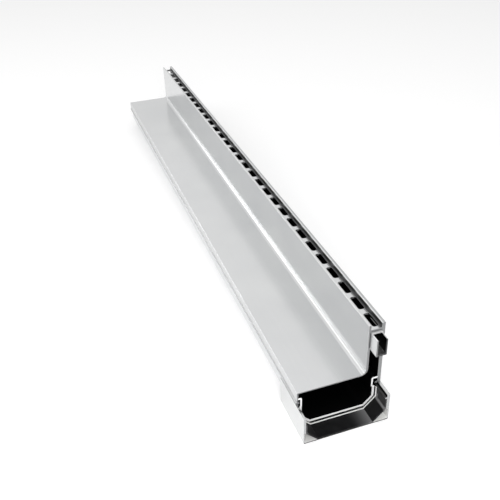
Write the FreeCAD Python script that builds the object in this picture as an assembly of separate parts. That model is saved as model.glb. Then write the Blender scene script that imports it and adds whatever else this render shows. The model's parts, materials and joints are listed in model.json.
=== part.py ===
import FreeCAD, Part
import math
import os

# A one metre aluminium slot drain: a trough, an L-shaped cover whose slot stands at one side,
# and at one end the joiner and the slot clip that carry the next length.
# Millimetres. X runs along the channel, the joiner at its +X end. Z = 0 is the ground.
# The origin is the middle of the whole part's footprint.

# Lengths along the channel
channel_length = 1000.0
joiner_reach = 24.0           # joiner beyond the channel's end
joiner_grip = 47.0            # joiner under the channel
clip_reach = 14.5             # slot clip beyond the channel's end
clip_grip = 25.0              # slot clip inside the slot
clip_bridge_reach = 3.0       # the clip's top bridge beyond the channel's end
clip_bridge_grip = 3.5        # and inside the slot

# Cover
lid_width = 85.5
lid_thickness = 1.6
lid_edge_radius = 1.0
bend_radius = 6.0
skirt_thickness = 1.8
slot_width = 20.4             # outside of both slot walls
slot_height = 71.0            # above the lid
slot_left_wall = 2.8
slot_right_wall = 4.3
edge_radius = 0.6
web_recess = 6.5              # web's top below the slot's top
web_thickness = 3.0
lip_thickness = 1.2           # of the skirt, beside the trough's head
drip_bead_radius = 1.2
drip_bead_drop = 15.4         # middle of the bead below the lid's top
drip_bead_roundness = 0.9     # its outer corners' radius over its own

# Feet of the cover, hooked under the trough's heads
left_foot_reach = 3.2
right_foot_drop = 16.5        # foot's top below the lid's top
right_foot_reach = 6.9
right_foot_root = 2.0         # slope that thickens the right foot where it leaves the wall
foot_thickness = 2.3

# Inlets punched in the web
inlet_count = 30
inlet_length = 25.0
inlet_width = 7.8
inlet_corner_radius = 3.0
inlet_wall_margin = 1.2       # strip left beside the right slot wall
cut_margin = 1.0              # how far a cutter stands proud of each face

# Trough
channel_depth = 51.0          # underside of the floor to the top of the lid
trough_left_inset = 3.1       # lid's edge to the trough's left face
trough_right_inset = 7.4      # slot's right face to the trough's right face
trough_wall = 3.0
trough_bevel = 12.5
trough_corner_radius = 1.5
seat_drop = 8.5               # lid's top to the heads that carry the cover
head_thickness = 2.5
head_radius = 2.2
neck_left_inset = 1.2         # neck's outer face in from the trough's face
neck_right_inset = 2.5
neck_wall = 2.0
neck_bottom_drop = 22.0
neck_slope_rise = 0.6         # of the ledge under the neck
slide_gap = 0.2

# Joiner cradle
cradle_sheet = 1.2
cradle_bend_radius = 1.6
cradle_overhang = 1.5         # cradle's left face beyond the lid's edge
cradle_top_drop = 17.2
cradle_left_wall = 2.7        # its walls are thick down to the seal, then a sheet
cradle_right_wall = 3.7
cradle_hook_drop = 3.3        # top of the right wall's inner hook below the cradle's top
cradle_hook_reach = 2.3
cradle_hook_thickness = 2.0
cover_gap = 0.2

# Joiner seal, a rubber tray under the trough
seal_wall = 1.6
seal_bevel_gap = 1.2
seal_floor_gap = 2.6
lining_thickness = 1.6        # beside the cradle's walls, on the right up to its hook
left_lining_drop = 28.0       # left lining's top below the lid's top
seal_rib_top_drop = 27.0
seal_rib_width = 3.0
seal_rib_count = 3
seal_rib_end_margin = 2.5

# Bead laid on the seal ahead of the channel's end
joint_bead_offset = 0.8
joint_bead_width = 1.6
joint_bead_height = 1.2

# Slot clip
clip_wall = 1.8
clip_wall_height = 23.0
clip_bridge_thickness = 1.4
clip_web_gap = 0.2            # under the web

# Derived places
near_end = (channel_length - joiner_reach) / 2
far_end = near_end - channel_length
joiner_start = near_end - joiner_grip
joiner_end = near_end + joiner_reach
trough_bottom = cradle_sheet + seal_wall + seal_floor_gap
lid_top = trough_bottom + channel_depth
slot_top = lid_top + slot_height
slot_right = (lid_width + slot_width + cradle_overhang) / 2
slot_left = slot_right - slot_width
lid_left = slot_left - lid_width
slot_inner_left = slot_left + slot_left_wall
slot_inner_right = slot_right - slot_right_wall
web_top = slot_top - web_recess
seat_level = lid_top - seat_drop
left_lip = lid_left + lip_thickness
right_lip = slot_inner_right + skirt_thickness - lip_thickness
trough_left = lid_left + trough_left_inset
trough_right = slot_right - trough_right_inset
bevel_top = trough_bottom + trough_bevel
cradle_left = lid_left - cradle_overhang
cradle_top = lid_top - cradle_top_drop
cradle_inner_left = cradle_left + cradle_left_wall
cradle_inner_right = slot_right - cradle_right_wall
hook_top = cradle_top - cradle_hook_drop
hook_bottom = hook_top - cradle_hook_thickness
left_lining_face = cradle_inner_left + lining_thickness
left_lining_top = lid_top - left_lining_drop
right_lining_face = cradle_inner_right - lining_thickness


def rounding_arc(before, corner, after):
    """Start, middle and end of the arc that rounds a corner given as (y, z, radius)."""
    here = FreeCAD.Vector(0, corner[0], corner[1])
    back = (FreeCAD.Vector(0, before[0], before[1]) - here).normalize()
    ahead = (FreeCAD.Vector(0, after[0], after[1]) - here).normalize()
    half_angle = back.getAngle(ahead) / 2
    reach = corner[2] / math.tan(half_angle)
    bisector = (back + ahead).normalize()
    middle = here + bisector * (corner[2] / math.sin(half_angle) - corner[2])
    return here + back * reach, middle, here + ahead * reach


def profile_face(corners):
    """A flat face in the YZ plane from corners (y, z) or (y, z, radius)."""
    runs = []
    for index, corner in enumerate(corners):
        if len(corner) == 3:
            after = corners[(index + 1) % len(corners)]
            runs.append(rounding_arc(corners[index - 1], corner, after))
        else:
            runs.append([FreeCAD.Vector(0, *corner)])
    edges = []
    for index, run in enumerate(runs):
        if len(run) == 3:
            edges.append(Part.Arc(*run).toShape())
        edges.append(Part.makeLine(run[-1], runs[(index + 1) % len(runs)][0]))
    return Part.Face(Part.Wire(edges))


def extrusion(corners, start_x, end_x):
    face = profile_face(corners)
    face.translate(FreeCAD.Vector(start_x, 0, 0))
    return face.extrude(FreeCAD.Vector(end_x - start_x, 0, 0))


def slot_and_web_corners():
    """Over the top of the slot, with its recessed web, from the left face to the right."""
    return [
        (slot_left, slot_top, edge_radius),
        (slot_inner_left, slot_top, edge_radius),
        (slot_inner_left, web_top),
        (slot_inner_right, web_top),
        (slot_inner_right, slot_top, edge_radius),
        (slot_right, slot_top, edge_radius),
    ]


def right_foot_corners():
    foot_top = lid_top - right_foot_drop
    foot_bottom = foot_top - foot_thickness
    foot_tip = slot_right - right_foot_reach
    cradle_clear = cradle_inner_right - cover_gap
    return [
        (slot_right, cradle_top + cover_gap),
        (cradle_clear, cradle_top + cover_gap),
        (cradle_clear, foot_bottom),
        (foot_tip, foot_bottom, edge_radius),
        (foot_tip, foot_top, edge_radius),
        (right_lip - right_foot_root, foot_top),
        (right_lip, foot_top + right_foot_root),
        (right_lip, seat_level),
        (slot_inner_right, seat_level),
    ]


def left_foot_corners():
    foot_bottom = cradle_top + cover_gap
    foot_top = foot_bottom + foot_thickness
    foot_tip = lid_left + left_foot_reach
    bead_face = lid_left - drip_bead_radius
    bead_top = lid_top - drip_bead_drop + drip_bead_radius
    bead_bottom = bead_top - 2 * drip_bead_radius
    bead_rounding = drip_bead_radius * drip_bead_roundness
    return [
        (lid_left + skirt_thickness, seat_level),
        (left_lip, seat_level),
        (left_lip, foot_top),
        (foot_tip, foot_top, edge_radius),
        (foot_tip, foot_bottom, edge_radius),
        (lid_left, foot_bottom),
        (lid_left, bead_bottom),
        (bead_face, bead_bottom, bead_rounding),
        (bead_face, bead_top, bead_rounding),
        (lid_left, bead_top),
    ]


def inlet_cutter(middle_x):
    middle_y = slot_inner_right - inlet_wall_margin - inlet_width / 2
    corner = FreeCAD.Vector(middle_x - inlet_length / 2, middle_y - inlet_width / 2,
                            web_top - web_thickness - cut_margin)
    block = Part.makeBox(inlet_length, inlet_width, web_thickness + 2 * cut_margin, corner)
    upright = [edge for edge in block.Edges if edge.BoundBox.ZLength > web_thickness]
    return block.makeFillet(inlet_corner_radius, upright)


def slot_cover():
    lid_under = lid_top - lid_thickness
    outline = [(lid_left, lid_top, lid_edge_radius), (slot_left, lid_top, bend_radius)]
    outline += slot_and_web_corners() + right_foot_corners()
    outline += [
        (slot_inner_right, web_top - web_thickness),
        (slot_inner_left, web_top - web_thickness),
        (slot_inner_left, lid_under, bend_radius + slot_left_wall),
        (lid_left + skirt_thickness, lid_under),
    ]
    outline += left_foot_corners()
    pitch = channel_length / inlet_count
    inlets = [inlet_cutter(far_end + pitch * (number + 0.5)) for number in range(inlet_count)]
    return extrusion(outline, far_end, near_end).cut(inlets)


def trough_side(outer_face, inward, head_face, neck_inset):
    """One side of the trough, from the bevel up round the head and back down inside."""
    neck_face = outer_face + inward * neck_inset
    neck_inner = neck_face + inward * neck_wall
    inner_face = outer_face + inward * trough_wall
    neck_bottom = lid_top - neck_bottom_drop
    head_bottom = seat_level - head_thickness
    return [
        (outer_face, bevel_top, trough_corner_radius),
        (outer_face, neck_bottom),
        (neck_face, neck_bottom + neck_slope_rise),
        (neck_face, head_bottom),
        (head_face, head_bottom, edge_radius),
        (head_face, seat_level),
        (neck_inner, seat_level, head_radius),
        (neck_inner, neck_bottom),
        (inner_face, neck_bottom - neck_inset - neck_wall + trough_wall),
        (inner_face, bevel_top + bevel_shift()),
    ]


def bevel_shift():
    """How far a corner of the 45 degree bevel moves along its wall, offset inward."""
    return trough_wall * math.tan(math.pi / 8)


def channel_trough():
    left = trough_side(trough_left, 1, left_lip + slide_gap, neck_left_inset)
    right = trough_side(trough_right, -1, right_lip - slide_gap, neck_right_inset)
    floor_corner = trough_bevel + bevel_shift()
    floor = [
        (trough_left + floor_corner, trough_bottom + trough_wall),
        (trough_right - floor_corner, trough_bottom + trough_wall),
    ]
    underside = [
        (trough_right - trough_bevel, trough_bottom, trough_corner_radius),
        (trough_left + trough_bevel, trough_bottom, trough_corner_radius),
    ]
    return extrusion(left + floor + right[::-1] + underside, far_end, near_end)


def line_under_trough(bevel_gap, floor_gap, left_face, right_face):
    """Four points under the trough at these clearances, from the left face to the right."""
    bottom = trough_bottom - floor_gap
    drop = bevel_gap * math.sqrt(2)
    left_sum = trough_left + bevel_top - drop
    right_difference = bevel_top - trough_right - drop
    return [
        (left_face, left_sum - left_face),
        (left_sum - bottom, bottom),
        (bottom - right_difference, bottom),
        (right_face, right_difference + right_face),
    ]


def seal_inner_line(height=0.0):
    """The seal's inner faces, or a line that stands this height above them."""
    return line_under_trough(seal_bevel_gap - height, seal_floor_gap - height,
                             left_lining_face + height, right_lining_face - height)


def seal_outer_line():
    return line_under_trough(seal_bevel_gap + seal_wall, seal_floor_gap + seal_wall,
                             cradle_inner_left, cradle_inner_right)


def seal_tray():
    left_top = [(cradle_inner_left, left_lining_top), (left_lining_face, left_lining_top)]
    right_top = [(right_lining_face, hook_bottom), (cradle_inner_right, hook_bottom)]
    outline = left_top + seal_inner_line() + right_top + seal_outer_line()[::-1]
    return extrusion(outline, joiner_start, joiner_end)


def seal_rib(start_x):
    """A rib that fills the space between the tray and the trough."""
    rib_top = lid_top - seal_rib_top_drop
    upper = [
        (left_lining_face, bevel_top),
        (trough_left, bevel_top),
        (trough_left + trough_bevel, trough_bottom),
        (trough_right - trough_bevel, trough_bottom),
        (trough_right, bevel_top),
        (trough_right, rib_top),
        (right_lining_face, rib_top),
    ]
    return extrusion(upper + seal_inner_line()[::-1], start_x, start_x + seal_rib_width)


def joiner_seal():
    first_x = joiner_start + seal_rib_end_margin
    last_x = near_end - seal_rib_end_margin - seal_rib_width
    pitch = (last_x - first_x) / (seal_rib_count - 1)
    ribs = [seal_rib(first_x + pitch * number) for number in range(seal_rib_count)]
    return seal_tray().fuse(ribs).removeSplitter()


def joint_bead():
    start_x = near_end + joint_bead_offset
    inner_left = left_lining_face + joint_bead_height
    inner_right = right_lining_face - joint_bead_height
    left_end = [(left_lining_face, left_lining_top), (inner_left, left_lining_top)]
    right_end = [(inner_right, hook_bottom), (right_lining_face, hook_bottom)]
    outline = left_end + seal_inner_line(joint_bead_height) + right_end + seal_inner_line()[::-1]
    return extrusion(outline, start_x, start_x + joint_bead_width)


def joiner_cradle():
    seal_underside = seal_outer_line()
    sheet_left = cradle_left + cradle_sheet
    sheet_right = slot_right - cradle_sheet
    inner_radius = cradle_bend_radius - cradle_sheet
    hook_face = cradle_inner_right - cradle_hook_reach
    left_wall = [
        (cradle_left, 0, cradle_bend_radius),
        (cradle_left, cradle_top),
        (cradle_inner_left, cradle_top),
        (cradle_inner_left, seal_underside[0][1]),
        (sheet_left, seal_underside[0][1]),
        (sheet_left, cradle_sheet, inner_radius),
    ]
    right_wall = [
        (sheet_right, cradle_sheet, inner_radius),
        (sheet_right, seal_underside[-1][1]),
        (cradle_inner_right, seal_underside[-1][1]),
        (cradle_inner_right, hook_bottom),
        (hook_face, hook_bottom),
        (hook_face, hook_top),
        (cradle_inner_right, hook_top),
        (cradle_inner_right, cradle_top),
        (slot_right, cradle_top),
        (slot_right, 0, cradle_bend_radius),
    ]
    return extrusion(left_wall + right_wall, joiner_start, joiner_end)


def slot_clip():
    top = web_top - web_thickness - clip_web_gap - clip_bridge_thickness
    bottom = top - clip_wall_height
    start_x = near_end - clip_grip
    channel = [
        (slot_inner_left, top),
        (slot_inner_left, bottom, edge_radius),
        (slot_inner_right, bottom, edge_radius),
        (slot_inner_right, top),
        (slot_inner_right - clip_wall, top),
        (slot_inner_right - clip_wall, bottom + clip_wall),
        (slot_inner_left + clip_wall, bottom + clip_wall),
        (slot_inner_left + clip_wall, top),
    ]
    bridge = [
        (slot_inner_left, top),
        (slot_inner_right, top),
        (slot_inner_right, top + clip_bridge_thickness),
        (slot_inner_left, top + clip_bridge_thickness),
    ]
    trough = extrusion(channel, start_x, near_end + clip_reach)
    bridge_start = near_end - clip_bridge_grip
    top_bridge = extrusion(bridge, bridge_start, near_end + clip_bridge_reach)
    return trough.fuse(top_bridge).removeSplitter()


pieces = {
    "slot_cover": slot_cover,
    "channel_trough": channel_trough,
    "joiner_cradle": joiner_cradle,
    "joiner_seal": joiner_seal,
    "joint_bead": joint_bead,
    "slot_clip": slot_clip,
}

os.makedirs("parts", exist_ok=True)
for name, build_piece in pieces.items():
    shape = build_piece()
    box = shape.BoundBox
    print(name, "valid", shape.isValid(), "solids", len(shape.Solids), "volume", round(shape.Volume),
          "box", [round(v, 2) for v in (box.XMin, box.XMax, box.YMin, box.YMax, box.ZMin, box.ZMax)])
    shape.exportStep(os.path.join("parts", name + ".step"))
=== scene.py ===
import json
import math

import bpy
import mathutils
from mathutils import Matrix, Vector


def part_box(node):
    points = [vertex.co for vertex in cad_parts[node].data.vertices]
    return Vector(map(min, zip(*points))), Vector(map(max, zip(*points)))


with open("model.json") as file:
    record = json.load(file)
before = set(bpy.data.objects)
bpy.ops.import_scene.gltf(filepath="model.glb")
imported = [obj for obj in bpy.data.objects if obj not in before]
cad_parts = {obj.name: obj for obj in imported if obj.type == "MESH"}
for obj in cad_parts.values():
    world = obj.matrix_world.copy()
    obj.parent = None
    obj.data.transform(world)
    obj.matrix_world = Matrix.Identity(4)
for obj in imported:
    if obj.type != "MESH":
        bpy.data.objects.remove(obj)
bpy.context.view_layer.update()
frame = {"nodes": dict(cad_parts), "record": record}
nodes = frame["nodes"]
mounts = {mount["name"]: mount["pos_m"] for mount in frame["record"]["mounts"]}
mm = 0.001
print("frame loaded")

# Places on the part, read from the frame
coverLow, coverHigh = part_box("slot_cover")
troughLow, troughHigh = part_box("channel_trough")
cradleLow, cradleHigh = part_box("joiner_cradle")
clipLow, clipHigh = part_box("slot_clip")
beadLow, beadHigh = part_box("joint_bead")
channelEnd = coverHigh[0]
lidTop = mounts["lid_top"][2]
dripBeadReach = 1.2 * mm        # of the bead along the skirt, the cover's furthest left
lidLeft = coverLow[1] + dripBeadReach
slotLeft = clipLow[1]           # the clip fills the slot, so its sides are the slot's inner faces
slotRight = clipHigh[1]
slotTop = coverHigh[2]

rim = 0.3 * mm                  # over which one finish fades into the next
sawnFace = ("facing", 0.9, 0.98)
notSawn = ("facing", 0.98, 0.9)
awayFromEnd = ("facing", 0.5, 0.4)
# edges lightened, partly by wear and partly as a painted highlight
wornAndHighlitEdge = ("flatness", 0.995, 0.86)
openlySeen = 1.0                # strength at which a white backdrop is plain white


def srgbToLinear(hexCode, alpha=1.0):
    values = [int(hexCode[place:place + 2], 16) / 255 for place in (1, 3, 5)]
    linear = [v / 12.92 if v <= 0.04045 else ((v + 0.055) / 1.055) ** 2.4 for v in values]
    return (*linear, alpha)


def addNode(tree, kind, settings=None):
    # settings are the node's properties, and the values of its inputs or the sockets linked to them
    node = tree.nodes.new(kind)
    for key, value in (settings or {}).items():
        if isinstance(value, bpy.types.NodeSocket):
            tree.links.new(value, node.inputs[key])
        elif isinstance(key, str) and hasattr(node, key):
            setattr(node, key, value)
        else:
            node.inputs[key].default_value = value
    return node


def newMaterial(name):
    material = bpy.data.materials.new(name)
    material.use_nodes = True
    tree = material.node_tree
    tree.nodes.clear()
    shader = addNode(tree, "ShaderNodeBsdfPrincipled")
    addNode(tree, "ShaderNodeOutputMaterial", {"Surface": shader.outputs["BSDF"]})
    return material, tree, shader


def fade(name, start, distances):
    # nothing at the first distance from the start and full at the second, in mm
    return (name, *[start + distance * mm for distance in distances])


def between(name, low, high, width=rim):
    # the two fades of a band, which lie just outside it
    return [(name, low - width, low), (name, high + width, high)]


def masked(tree, at, regions):
    # the strongest region at each point: a region is a strength and its fades,
    # and a fade is a socket's name, where it is nothing and where it is full
    whole = None
    for strength, fades in regions:
        mask = strength
        for name, nothingAt, fullAt in fades:
            rise = addNode(tree, "ShaderNodeMapRange",
                           {"From Min": nothingAt, "From Max": fullAt, "Value": at[name]})
            mask = addNode(tree, "ShaderNodeMath",
                           {"operation": "MULTIPLY", 0: rise.outputs["Result"],
                            1: mask}).outputs["Value"]
        if whole is not None:
            mask = addNode(tree, "ShaderNodeMath",
                           {"operation": "MAXIMUM", 0: whole, 1: mask}).outputs["Value"]
        whole = mask
    return whole


def layOver(tree, surface, mask, layer):
    # the surface with the layer's colour and numbers over it, where the mask is 1
    covered = dict(surface)
    for name, value in layer.items():
        kind, below, above, result = ("FLOAT", 2, 3, 0)
        if name == "Base Color":
            kind, below, above, result = ("RGBA", 6, 7, 2)
        mix = addNode(tree, "ShaderNodeMix",
                      {"data_type": kind, 0: mask, below: surface[name], above: value})
        covered[name] = mix.outputs[result]
    return covered


def measured(tree, edgeReach):
    # the sockets that fades go by: the place along, across and up, and how flat the metal or
    # rubber is there, 1 away from its edges
    coordinates = addNode(tree, "ShaderNodeTexCoord")
    place = coordinates.outputs["Object"]
    axes = addNode(tree, "ShaderNodeSeparateXYZ", {"Vector": place})
    rounded = addNode(tree, "ShaderNodeBevel", {"samples": 6, "Radius": edgeReach})
    flat = addNode(tree, "ShaderNodeNewGeometry")
    flatness = addNode(tree, "ShaderNodeVectorMath",
                       {"operation": "DOT_PRODUCT", 0: rounded.outputs["Normal"],
                        1: flat.outputs["True Normal"]})
    return {"place": place, "normal": coordinates.outputs["Normal"],
            "rounded": rounded.outputs["Normal"], "flatness": flatness.outputs["Value"],
            "x": axes.outputs["X"], "y": axes.outputs["Y"], "z": axes.outputs["Z"]}


def towardsMiddle(tree, at, middleLine):
    # how far a face looks towards a line along the channel
    middle = addNode(tree, "ShaderNodeCombineXYZ",
                     {"X": at["x"], "Y": middleLine[0], "Z": middleLine[1]})
    inward = addNode(tree, "ShaderNodeVectorMath",
                     {"operation": "SUBTRACT", 0: middle.outputs["Vector"], 1: at["place"]})
    face = addNode(tree, "ShaderNodeNewGeometry")
    return addNode(tree, "ShaderNodeVectorMath",
                   {"operation": "DOT_PRODUCT", 0: inward.outputs["Vector"],
                    1: face.outputs["Normal"]}).outputs["Value"]


def finishShader(tree, shader, surface, bump):
    # bump is its strength, its depth, its height and the normal it stands on
    for name, socket in surface.items():
        tree.links.new(socket, shader.inputs[name])
    raised = addNode(tree, "ShaderNodeBump", bump)
    tree.links.new(raised.outputs["Normal"], shader.inputs["Normal"])


def millFinishAluminium(name, look, paintedHollowAreas, paintedShade=None):
    # extruded aluminium, mill finish: an even satin grey with faint die lines along the length,
    # sawn ends, edges lighter from wear and painted highlight, painted shade in the hollows, and
    # painted light in the cradle's open corners
    material, tree, shader = newMaterial(name)
    at = measured(tree, look["edgeMm"] * mm)
    facing = addNode(tree, "ShaderNodeSeparateXYZ", {"Vector": at["normal"]})
    at["facing"] = facing.outputs["X"]
    if "middleLine" in look:
        at["inward"] = towardsMiddle(tree, at, look["middleLine"])

    # fine die lines over broad clouds, and painted shade that darkens it a little towards the far
    # end
    lineScale = 1 / (look["dieLineMm"] * mm)
    drawn = addNode(tree, "ShaderNodeMapping",
                    {"Scale": (1 / (look["dieLineLengthMm"] * mm), lineScale, lineScale),
                     "Vector": at["place"]})
    dieLines = addNode(tree, "ShaderNodeTexNoise",
                       {"Scale": 1.0, "Detail": 3.0, "Roughness": 0.6,
                        "Vector": drawn.outputs["Vector"]}).outputs["Fac"]
    clouds = addNode(tree, "ShaderNodeTexNoise",
                     {"Scale": 1 / (look["cloudMm"] * mm), "Detail": 2.0,
                      "Vector": at["place"]})
    mottle = addNode(tree, "ShaderNodeMath",
                     {"operation": "MULTIPLY_ADD", 0: dieLines, 1: look["lineShare"],
                      2: clouds.outputs["Fac"]})
    at["mottle"] = mottle.outputs["Value"]
    rough = addNode(tree, "ShaderNodeMapRange",
                    {"To Min": look["roughLow"], "To Max": look["roughHigh"], "Value": dieLines})
    surface = {"Base Color": srgbToLinear(look["dark"]), "Roughness": rough.outputs["Result"],
               "Metallic": look["metal"]}
    tint = masked(tree, at, [(1.0, [("mottle", *look["mottle"])])])
    surface = layOver(tree, surface, tint, {"Base Color": srgbToLinear(look["light"])})
    paintedFarShade = masked(tree, at, [(look["farPaintedShadeShare"], [fade("x", 0, look["farPaintedShadeAt"])])])
    surface = layOver(tree, surface, paintedFarShade, {"Base Color": srgbToLinear(look["farPaintedShade"])})

    # sawn ends: fine arcs of the saw over a grey that each piece sets, painted shade on the cover's
    # ends and painted light on the trough's
    sawTurn = addNode(tree, "ShaderNodeMapping",
                      {"Rotation": (look["sawLean"], 0, 0), "Vector": at["place"]})
    sawMarks = addNode(tree, "ShaderNodeTexWave",
                       {"bands_direction": "Y", "Scale": 1 / (look["sawMm"] * mm) / math.tau,
                        "Distortion": 1.5, "Detail": 2.0, "Vector": sawTurn.outputs["Vector"]})
    sawn = layOver(tree, {"Base Color": srgbToLinear(look["sawnDark"])}, sawMarks.outputs["Fac"],
                   {"Base Color": srgbToLinear(look["sawnLight"])})
    surface = layOver(tree, surface, masked(tree, at, [(1.0, [sawnFace])]),
                      {**sawn, "Roughness": look["sawnRough"], "Metallic": look["sawnMetal"]})

    # painted shade in each piece's hollows, and painted light in the cradle's open corners
    at["paintedHollow"] = masked(tree, at, [(strength, [*fades, awayFromEnd])
                                     for strength, fades in paintedHollowAreas])
    surface = layOver(tree, surface, at["paintedHollow"],
                      {"Base Color": srgbToLinear(look["paintedHollow"]),
                       "Roughness": look["hollowRough"], "Metallic": look["hollowMetal"]})

    # the edges are lighter, partly from handling and partly as a painted highlight, though not in
    # the painted hollows or under painted shade
    wornAndHighlit = [wornAndHighlitEdge, ("paintedHollow", 1.0, 0.0)]
    # painted shade over given places, darker than the metal around them
    if paintedShade:
        at["paintedShade"] = masked(tree, at, paintedShade)
        surface = layOver(tree, surface, at["paintedShade"],
                          {"Base Color": srgbToLinear(look["paintedShade"]),
                           "Roughness": look["paintedShadeRough"]})
        wornAndHighlit.append(("paintedShade", 0.5, 0.0))
    surface = layOver(tree, surface, masked(tree, at, [(1.0, wornAndHighlit)]),
                      {"Base Color": srgbToLinear(look["edge"])})
    finishShader(tree, shader, surface,
                 {"Strength": look["lineStrength"], "Distance": look["lineDepthMm"] * mm,
                  "Height": dieLines, "Normal": at["rounded"]})
    return material


def mouldedRubber(name, look, paintedAreas):
    # moulded EPDM rubber: matt, with random dust, and with painted sheen and painted shade in given
    # places
    material, tree, shader = newMaterial(name)
    at = measured(tree, look["edgeMm"] * mm)
    dust = addNode(tree, "ShaderNodeTexNoise",
                   {"Scale": 1 / (look["dustMm"] * mm), "Detail": 4.0, "Vector": at["place"]})
    surface = {"Base Color": srgbToLinear(look["dark"])}
    surface = layOver(tree, surface, dust.outputs["Fac"],
                      {"Base Color": srgbToLinear(look["light"])})
    surface = layOver(tree, surface, masked(tree, at, paintedAreas),
                      {"Base Color": srgbToLinear(look["paintedSheenAndShade"])})
    surface = layOver(tree, surface, masked(tree, at, [(1.0, [wornAndHighlitEdge])]),
                      {"Base Color": srgbToLinear(look["edge"])})
    grain = addNode(tree, "ShaderNodeTexNoise",
                    {"Scale": 1 / (look["grainMm"] * mm), "Detail": 2.0,
                     "Vector": at["place"]})
    finishShader(tree, shader, surface,
                 {"Strength": look["grainStrength"], "Distance": look["grainDepthMm"] * mm,
                  "Height": grain.outputs["Fac"], "Normal": at["rounded"]})
    shader.inputs["Roughness"].default_value = look["rough"]
    shader.inputs["Specular IOR Level"].default_value = look["specular"]
    return material


# What the four aluminium pieces share. Real die lines and saw marks are finer: these are drawn
# as coarse as they need to be to show
millFinish = {"metal": 1.0, "dieLineMm": 1.2, "dieLineLengthMm": 700, "lineShare": 0.25,
              "cloudMm": 90, "mottle": (0.3, 0.95), "roughLow": 0.18, "roughHigh": 0.25,
              "lineStrength": 0.05, "lineDepthMm": 0.05, "farPaintedShade": "#8b8c8d", "farPaintedShadeShare": 0.16,
              "farPaintedShadeAt": (-100, -450), "sawMm": 0.8, "sawLean": 0.35,
              "sawnRough": 0.5, "sawnMetal": 0.6,
              "paintedHollow": "#262627", "hollowRough": 0.5, "hollowMetal": 1.0,
              "paintedShade": "#3c3d3e", "paintedShadeRough": 0.45, "edge": "#f6f6f6", "edgeMm": 0.35}

# Cover, its measures in mm from the lid's top and side and the slot's top and inner faces; its sawn
# ends are painted dark, as painted shade
coverLook = {**millFinish, "dark": "#dadbdc", "light": "#e3e4e4",
             "sawnDark": "#7c7d7e", "sawnLight": "#9e9fa0",
             "skin": 1.2, "wallSkin": 0.4, "webMiddle": 7.3,
             "grooveTop": 0.9, "grooveAt": (-3.0, -0.8), "grooveShare": 0.8,
             "besideClip": 1.0, "besideClipLap": 0.1, "besideClipBottom": 2.0,
             "besideClipTop": 1.0, "webFoot": 0.6, "webFootShare": 0.85,
             "skirtSide": 0.5, "skirtTop": 1.0, "skirtShare": 0.2,
             "outerEdgeAt": (-3.0, -2.6), "outerEdgeTop": (-1.4, -1.0), "outerEdgeShare": 0.35}


def coverShadedHollows(look):
    # painted shade under the lid, inside the skirt, between the slot walls below the web,
    # and, in part, in the groove over the web by its right wall
    wallFace = slotRight + look["wallSkin"] * mm
    inSlot = between("y", slotLeft, wallFace)
    underLid = lidTop - look["skin"] * mm
    underWeb = slotTop - look["webMiddle"] * mm
    overWeb = slotTop - look["grooveTop"] * mm
    byWall = fade("y", slotRight, look["grooveAt"])
    return [(1.0, [("z", underLid, underLid - rim),
                   *between("y", lidLeft + look["skin"] * mm, wallFace)]),
            (1.0, [("z", underWeb, underWeb - rim), *inSlot]),
            (look["grooveShare"], [("z", overWeb, overWeb - rim), *inSlot, byWall])]


def coverPaintedShade(look):
    # painted shade on the cut end beside the clip and at the web's foot, and a lighter painted
    # shade down the skirt and along the outer part of the slot's right edge
    skirtSide = lidLeft + look["skirtSide"] * mm
    skirtTop = lidTop - look["skirtTop"] * mm
    return [(1.0, [sawnFace, *between("y", slotLeft - look["besideClip"] * mm,
                                      slotLeft + look["besideClipLap"] * mm),
                   *between("z", clipLow[2] + look["besideClipBottom"] * mm,
                            clipHigh[2] - look["besideClipTop"] * mm)]),
            (look["webFootShare"], [sawnFace, *between("y", slotLeft, slotRight),
                                    *between("z", clipHigh[2],
                                             clipHigh[2] + look["webFoot"] * mm)]),
            (look["skirtShare"], [("y", skirtSide, skirtSide - rim),
                                  ("z", skirtTop, skirtTop - rim)]),
            (look["outerEdgeShare"], [fade("y", coverHigh[1], look["outerEdgeAt"]),
                                      fade("z", slotTop, look["outerEdgeTop"])])]


# Trough, its middle line 8 mm below the lid's top; its sawn end is painted near white and matt, as
# painted light
troughLook = {**millFinish, "dark": "#cfd0d1", "light": "#dadbdc",
              "sawnDark": "#f6f6f6", "sawnLight": "#fcfcfc", "sawnRough": 0.4, "sawnMetal": 0.1,
              "edge": "#e8e8e8",
              "middleLine": ((troughLow[1] + troughHigh[1]) / 2, lidTop - 8 * mm)}
# painted shade on every face that looks inside the trough
troughShadedHollows = [(1.0, [fade("inward", 0, (0.0, 0.5))])]     # every face that looks inside

# Cradle, its measures in mm from its sides and up from its underside
cradleLook = {**millFinish, "dark": "#cecfcf", "light": "#d9dada",
              "sawnDark": "#a4a6a7", "sawnLight": "#c2c3c4", "paintedShade": "#1c1c1d",
              "paintedHollow": "#f4f4f2", "hollowRough": 0.7, "hollowMetal": 0.1,
              "cornerFoot": 1.0, "cornerTop": 17.4, "cornerSide": 1.0, "sheetTop": 1.4,
              "nookSides": (-8.0, -3.6), "nookRim": 0.1, "nookFoot": (33.0, 33.5),
              "nookShare": 0.8, "nookWall": (-4.8, -3.8)}


def cradlePaintedLightCorners(look):
    # painted light: the inner faces of the two open corners under the seal, painted pale and matt
    # to stand for the light that reaches them
    return [(1.0, [*between("z", look["cornerFoot"] * mm, look["cornerTop"] * mm),
                   *between("y", cradleLow[1] + look["cornerSide"] * mm,
                            cradleHigh[1] - look["cornerSide"] * mm)])]


def cradlePaintedShade(look):
    # painted shade on the end of the thin sheet at the bottom, and in the nook over the right
    # wall's hook, most of all on the wall itself
    sides = fade("y", cradleHigh[1], look["nookSides"])
    nook = [notSawn, *between(*sides, look["nookRim"] * mm), fade("z", 0, look["nookFoot"])]
    onWall = fade("y", cradleHigh[1], look["nookWall"])
    return [(1.0, [sawnFace, ("z", look["sheetTop"] * mm + rim, look["sheetTop"] * mm)]),
            (look["nookShare"], nook), (1.0, [*nook, onWall])]


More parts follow.
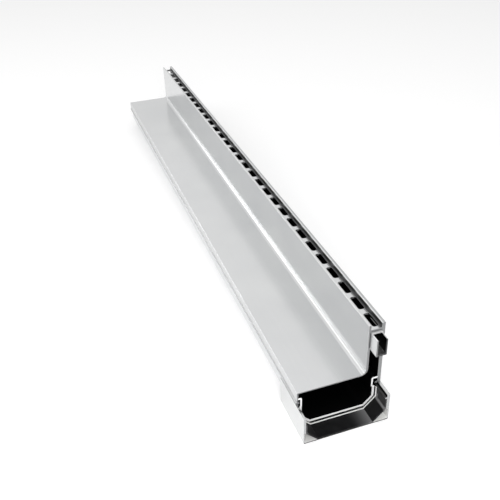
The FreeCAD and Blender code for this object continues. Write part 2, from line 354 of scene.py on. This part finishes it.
# Slot clip, its measures in mm from its own sides, underside and top
clipLook = {**millFinish, "dark": "#f0f0f0", "light": "#f8f8f8", "metal": 0.7, "dieLineMm": 0.9,
            "sawnDark": "#c8c9c9", "sawnLight": "#e0e0e0",
            "paintedHollow": "#0c0c0d", "hollowRough": 0.3,
            "wall": 1.4, "floor": 1.5, "bridge": 1.2, "floorShare": 0.6,
            "wallsAt": (-1.0, 4.0), "bridgeEnd": 1.3, "leftEndShare": 0.75,
            "rightEndAt": (-0.2, 2.2)}


def clipShadedHollows(look):
    # painted shade inside the U of the clip, lighter on its floor than on its walls
    inside = [*between("y", clipLow[1] + look["wall"] * mm, clipHigh[1] - look["wall"] * mm),
              *between("z", clipLow[2] + look["floor"] * mm, clipHigh[2] - look["bridge"] * mm)]
    upWalls = fade("z", clipLow[2], look["wallsAt"])
    return [(look["floorShare"], inside), (1.0, [*inside, upWalls])]


def clipPaintedShade(look):
    # painted shade on the cut ends of the U below its bridge, less on the left one
    below = clipHigh[2] - look["bridgeEnd"] * mm
    cutEnd = [sawnFace, ("z", below, below - rim)]
    rightEnd = fade("y", clipLow[1], look["rightEndAt"])
    return [(look["leftEndShare"], cutEnd), (1.0, [*cutEnd, rightEnd])]


# What the two rubber pieces share. The real grain is finer, and is drawn coarse enough to show
rubber = {"edgeMm": 0.25, "grainMm": 0.5, "grainStrength": 0.25, "grainDepthMm": 0.1,
          "rough": 0.5, "specular": 0.12}

# Seal, the places of its painted sheen in mm across and up, and ahead of the bead
sealLook = {**rubber, "dark": "#060607", "light": "#1e1e1f", "paintedSheenAndShade": "#6c6c6d",
            "edge": "#5a5a5b", "dustMm": 9, "floorSheen": (7.0, 32.9), "floorSheenEnd": (33.3, 32.9),
            "leftCrease": (-52.0, -48.2), "leftCreaseRim": 1.2, "leftCreaseShare": 0.5,
            "lining": (47.4, 48.2), "liningShare": 0.18,
            "rightCrease": (46.2, 47.4), "rightCreaseTop": (20.6, 19.2),
            "aheadOfBead": (4.5, 3.5), "aheadOfBeadTop": (26.0, 24.0)}


def sealPaintedSheen(look):
    # painted sheen on the tray's floor towards the slot's side, in its two creases, on the right
    # lining, and most of all just ahead of the bead
    rising = fade("y", 0, look["floorSheen"])
    leftCrease = fade("y", 0, look["leftCrease"])
    rightCrease = fade("y", 0, look["rightCrease"])
    return [(1.0, [rising, rising, fade("y", 0, look["floorSheenEnd"])]),
            (look["leftCreaseShare"], between(*leftCrease, look["leftCreaseRim"] * mm)),
            (look["liningShare"], [fade("y", 0, look["lining"])]),
            (1.0, [rightCrease, fade("z", 0, look["rightCreaseTop"])]),
            (1.0, [rightCrease, fade("x", beadHigh[0], look["aheadOfBead"]),
                   fade("z", 0, look["aheadOfBeadTop"])])]


# Bead, pale but for its back edge, which is painted black as the shade in the gap behind it
beadLook = {**rubber, "dark": "#eaeae8", "light": "#f6f6f4", "paintedSheenAndShade": "#0a0a0b",
            "edge": "#f4f4f2", "dustMm": 6, "lap": (1.0, 0.8)}
beadPaintedShade = [(1.0, [fade("x", beadLow[0], beadLook["lap"])])]

finishes = {
    "slot_cover": millFinishAluminium("mill finish aluminium cover", coverLook,
                                      coverShadedHollows(coverLook), coverPaintedShade(coverLook)),
    "channel_trough": millFinishAluminium("mill finish aluminium trough", troughLook,
                                          troughShadedHollows),
    "joiner_cradle": millFinishAluminium("mill finish aluminium cradle", cradleLook,
                                         cradlePaintedLightCorners(cradleLook), cradlePaintedShade(cradleLook)),
    "slot_clip": millFinishAluminium("mill finish aluminium clip", clipLook,
                                     clipShadedHollows(clipLook), clipPaintedShade(clipLook)),
    "joiner_seal": mouldedRubber("moulded EPDM rubber", sealLook, sealPaintedSheen(sealLook)),
    "joint_bead": mouldedRubber("pale moulded rubber bead", beadLook, beadPaintedShade),
}
for name, material in finishes.items():
    nodes[name].data.materials.clear()
    nodes[name].data.materials.append(material)
print("finishes done")

# Studio
studio = {"floorColour": "#e6e6e6", "floorGlow": 0.25, "floorSize": 12.0,
          "floorRough": 0.9, "worldColour": "#ffffff", "worldFill": 0.65, "worldShine": 0.9}
lamps = {
    "key softbox": {"place": (0.2, -2.0, 1.6), "target": (0, 0, 0.05), "size": (1.6, 1.6),
                    "power": 14.0, "leanDegrees": 0.0, "shine": True},
    "top softbox": {"place": (-0.2, 0.2, 2.4), "target": (0, 0, 0.05), "size": (2.0, 2.0),
                    "power": 8.0, "leanDegrees": 0.0, "shine": True},
    "front softbox": {"place": (1.8, -0.45, 1.1), "target": (0.5, 0, 0.05), "size": (0.8, 0.8),
                      "power": 20.0, "leanDegrees": 0.0, "shine": False},
    "long strip behind": {"place": (-4.4, -3.35, 1.55), "target": (0, 0, 0.05),
                          "size": (3.0, 0.45), "power": 18.0, "leanDegrees": 28.0,
                          "shine": True},
}


def paleFloor():
    # matt, and lit up a little where the camera, glass or metal sees it
    bpy.ops.mesh.primitive_plane_add(size=studio["floorSize"], location=(0, 0, 0))
    floor = bpy.context.object
    floor.name = "studio_floor"
    material, tree, shader = newMaterial("pale studio floor")
    output = [node for node in tree.nodes if node.type == "OUTPUT_MATERIAL"][0]
    shader.inputs["Base Color"].default_value = srgbToLinear(studio["floorColour"])
    shader.inputs["Roughness"].default_value = studio["floorRough"]
    shader.inputs["Specular IOR Level"].default_value = 0.0
    rays = addNode(tree, "ShaderNodeLightPath").outputs
    seen = masked(tree, rays, [(studio["floorGlow"], [(kind, 0.0, 1.0)]) for kind in
                               ("Is Camera Ray", "Is Glossy Ray", "Is Transmission Ray")])
    glow = addNode(tree, "ShaderNodeEmission", {"Strength": seen})
    total = addNode(tree, "ShaderNodeAddShader",
                    {0: shader.outputs["BSDF"], 1: glow.outputs["Emission"]})
    tree.links.new(total.outputs["Shader"], output.inputs["Surface"])
    floor.data.materials.append(material)


def whiteWorld():
    world = bpy.data.worlds.new("studio world")
    bpy.context.scene.world = world
    world.use_nodes = True
    tree = world.node_tree
    tree.nodes.clear()
    rays = addNode(tree, "ShaderNodeLightPath").outputs
    clear = masked(tree, rays, [(1.0, [("Is Camera Ray", 0.0, 1.0)]),
                                (1.0, [("Is Transmission Ray", 0.0, 1.0)])])
    light = {"Strength": studio["worldFill"]}
    light = layOver(tree, light, rays["Is Glossy Ray"], {"Strength": studio["worldShine"]})
    light = layOver(tree, light, clear, {"Strength": openlySeen})
    sky = addNode(tree, "ShaderNodeBackground",
                  {"Color": srgbToLinear(studio["worldColour"]), **light})
    addNode(tree, "ShaderNodeOutputWorld", {"Surface": sky.outputs["Background"]})


def aim(holder, place, target, rollDegrees):
    way = mathutils.Vector(target) - mathutils.Vector(place)
    roll = mathutils.Quaternion((0, 0, 1), math.radians(rollDegrees))
    holder.location = place
    holder.rotation_euler = (way.to_track_quat("-Z", "Y") @ roll).to_euler()


def softLamp(name, look):
    lamp = bpy.data.lights.new(name, "AREA")
    lamp.shape = "RECTANGLE"
    lamp.size, lamp.size_y = look["size"]
    lamp.energy = look["power"]
    holder = bpy.data.objects.new(name, lamp)
    bpy.context.scene.collection.objects.link(holder)
    holder.visible_glossy = look["shine"]       # off, it leaves no hot spot in the lid
    aim(holder, look["place"], look["target"], look["leanDegrees"])


# Camera, set from the lid's corner at the end with the joiner
view = {"stand": (0.49594, -0.21008, 0.53942), "aim": (-0.2925, 0.04705, 0.0046),
        "rollDegrees": -2.27, "lens": 47.87, "clipStart": 0.01}


def setCamera():
    corner = mathutils.Vector((channelEnd, lidLeft, lidTop))
    camera = bpy.data.cameras.new("camera")
    camera.lens = view["lens"]
    camera.clip_start = view["clipStart"]
    holder = bpy.data.objects.new("camera", camera)
    bpy.context.scene.collection.objects.link(holder)
    aim(holder, corner + mathutils.Vector(view["stand"]),
        corner + mathutils.Vector(view["aim"]), view["rollDegrees"])
    bpy.context.scene.camera = holder


paleFloor()
whiteWorld()
for name, look in lamps.items():
    softLamp(name, look)
setCamera()
bpy.context.scene.view_settings.view_transform = "Standard"
print("studio done")
